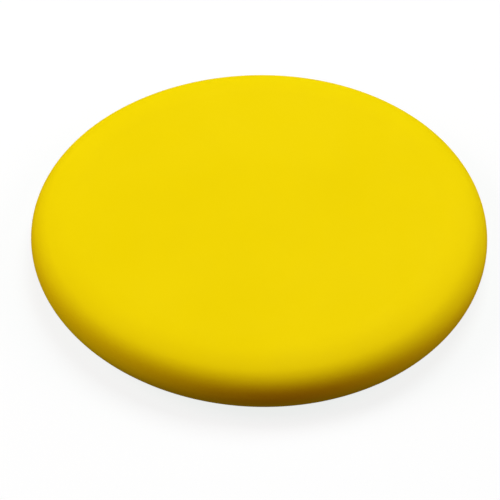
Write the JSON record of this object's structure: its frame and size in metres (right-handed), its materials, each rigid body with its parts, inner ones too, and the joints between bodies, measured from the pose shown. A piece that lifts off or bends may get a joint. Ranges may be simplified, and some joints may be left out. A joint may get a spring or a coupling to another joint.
{
  "type": "foam throwing disc",
  "caption": "Round soft-foam throwing disc with a flat top, a full rounded edge and a hollow underside, sealed in a smooth matte skin.",
  "frame": {"origin": "centre of the resting face, the circle on which the rim lies, level with the floor", "axes": "+Z along the disc's axis, from the resting face up to the flat top; X and Y across the disc, which is the same all the way round"},
  "size_m": [0.25, 0.25, 0.03],
  "materials": {
    "foam": "matte",
    "outer_skin": "matte",
    "underside_skin": "matte"
  },
  "bodies": {
    "root": {"foam_core": "foam", "outer_skin": "outer_skin", "underside_skin": "underside_skin"}
  },
  "joints": []
}
